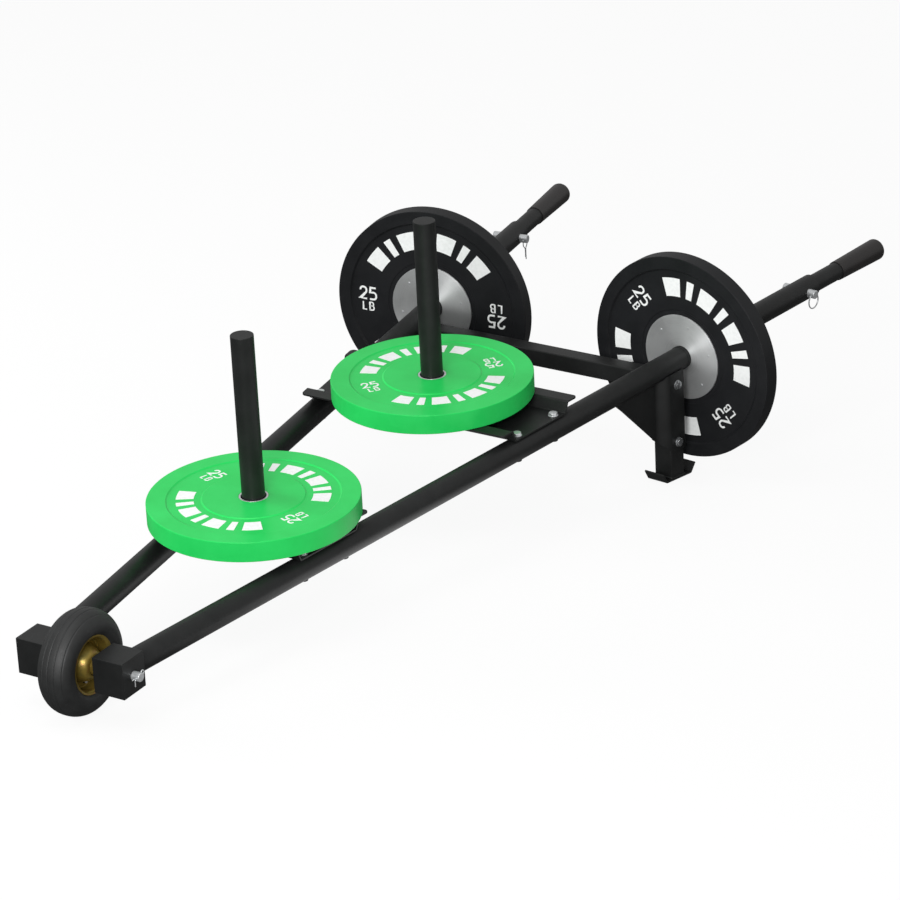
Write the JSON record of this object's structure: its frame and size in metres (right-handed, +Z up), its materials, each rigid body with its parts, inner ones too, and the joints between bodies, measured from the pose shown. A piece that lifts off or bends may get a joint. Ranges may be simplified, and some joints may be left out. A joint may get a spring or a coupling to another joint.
{
  "type": "plate-loaded wheelbarrow",
  "caption": "Low strength-training wheelbarrow: splayed tube rails behind a small wheel, upright plate posts, plate sleeves with grips, legs with flat feet.",
  "frame": {"origin": "on the ground at the centre of the footprint's bounding box", "axes": "+X across to the object's right, +Y back from the wheel to the grips, +Z up"},
  "size_m": [1.0792, 2.5312, 0.6491],
  "materials": {
    "black_powder_coat": "satin",
    "tyre_rubber": "satin",
    "grip_rubber": "satin",
    "black_plate_rubber": "matte",
    "green_plate_rubber": "satin",
    "zinc_plate": "bright",
    "yellow_zinc_plate": "bright",
    "brushed_steel": "brushed"
  },
  "bodies": {
    "frame": {"axle": "zinc_plate", "axle_block_left": "black_powder_coat", "axle_block_right": "black_powder_coat", "foot_left": "black_powder_coat", "foot_right": "black_powder_coat", "front_bolt_back_left": "zinc_plate", "front_bolt_back_right": "zinc_plate", "front_bolt_front_left": "zinc_plate", "front_bolt_front_right": "zinc_plate", "front_crossmember": "black_powder_coat", "front_post": "black_powder_coat", "grip_left": "grip_rubber", "grip_right": "grip_rubber", "handle_left": "black_powder_coat", "handle_right": "black_powder_coat", "inner_gusset_left": "black_powder_coat", "inner_gusset_right": "black_powder_coat", "leg_bolt_low_left": "zinc_plate", "leg_bolt_low_right": "zinc_plate", "leg_bolt_top_left": "zinc_plate", "leg_bolt_top_right": "zinc_plate", "leg_bracket_inner_left": "black_powder_coat", "leg_bracket_inner_right": "black_powder_coat", "leg_bracket_outer_left": "black_powder_coat", "leg_bracket_outer_right": "black_powder_coat", "leg_left": "black_powder_coat", "leg_right": "black_powder_coat", "rail_left": "black_powder_coat", "rail_right": "black_powder_coat", "rear_bolt_back_left": "zinc_plate", "rear_bolt_back_right": "zinc_plate", "rear_bolt_front_left": "zinc_plate", "rear_bolt_front_right": "zinc_plate", "rear_crossmember": "black_powder_coat", "rear_crosstube": "black_powder_coat", "rear_post": "black_powder_coat", "split_pin_left": "zinc_plate", "split_pin_right": "zinc_plate", "stop_collar_left": "black_powder_coat", "stop_collar_right": "black_powder_coat"},
    "wheel": {"tyre": "tyre_rubber", "rim_left": "yellow_zinc_plate", "rim_right": "yellow_zinc_plate", "hub": "yellow_zinc_plate", "bearing_left": "zinc_plate", "bearing_right": "zinc_plate"},
    "front_load": {"front_plate": "green_plate_rubber", "front_plate_bore_ring": "brushed_steel"},
    "rear_load": {"rear_plate": "green_plate_rubber", "rear_plate_bore_ring": "brushed_steel"},
    "left_load": {"side_plate_left": "black_plate_rubber", "steel_disc_left": "brushed_steel"},
    "hitch_left": {"hitch_pin_left": "zinc_plate"},
    "ring_left": {"pull_ring_left": "zinc_plate"},
    "clip_left": {"pin_clip_left": "zinc_plate"},
    "right_load": {"side_plate_right": "black_plate_rubber", "steel_disc_right": "brushed_steel"},
    "hitch_right": {"hitch_pin_right": "zinc_plate"},
    "ring_right": {"pull_ring_right": "zinc_plate"},
    "clip_right": {"pin_clip_right": "zinc_plate"}
  },
  "joints": [
    {"name": "wheel_spin", "type": "hinge", "parent": "frame", "child": "wheel", "pos_m": [0, -1.16279, 0.103], "axis": [1, 0, 0], "continuous": true},
    {"name": "front_plate_lift", "type": "slide", "parent": "frame", "child": "front_load", "axis": [0, -0.0924, 0.9957], "range_m": [0, 0.4]},
    {"name": "rear_plate_lift", "type": "slide", "parent": "frame", "child": "rear_load", "axis": [0, -0.0924, 0.9957], "range_m": [0, 0.4]},
    {"name": "left_plate_slide", "type": "slide", "parent": "frame", "child": "left_load", "axis": [-0.1331, 0.9869, 0.0915], "range_m": [0, 0.382]},
    {"name": "hitch_pin_play_left", "type": "slide", "parent": "frame", "child": "hitch_left", "axis": [0.9911, 0.1326, 0.0123], "range_m": [-0.005, 0.005]},
    {"name": "pull_ring_swing_left", "type": "hinge", "parent": "hitch_left", "child": "ring_left", "pos_m": [-0.40523, 0.96716, 0.30057], "axis": [-0.1331, 0.9869, 0.0915], "range_deg": [-20, 90]},
    {"name": "clip_swing_left", "type": "hinge", "parent": "hitch_left", "child": "clip_left", "pos_m": [-0.33585, 0.97643, 0.30143], "axis": [-0.1331, 0.9869, 0.0915], "range_deg": [-90, 20]},
    {"name": "right_plate_slide", "type": "slide", "parent": "frame", "child": "right_load", "axis": [0.1331, 0.9869, 0.0915], "range_m": [0, 0.382]},
    {"name": "hitch_pin_play_right", "type": "slide", "parent": "frame", "child": "hitch_right", "axis": [0.9911, -0.1326, -0.0123], "range_m": [-0.005, 0.005]},
    {"name": "pull_ring_swing_right", "type": "hinge", "parent": "hitch_right", "child": "ring_right", "pos_m": [0.40523, 0.96716, 0.30057], "axis": [0.1331, 0.9869, 0.0915], "range_deg": [-90, 20]},
    {"name": "clip_swing_right", "type": "hinge", "parent": "hitch_right", "child": "clip_right", "pos_m": [0.33585, 0.97643, 0.30143], "axis": [0.1331, 0.9869, 0.0915], "range_deg": [-20, 90]}
  ]
}
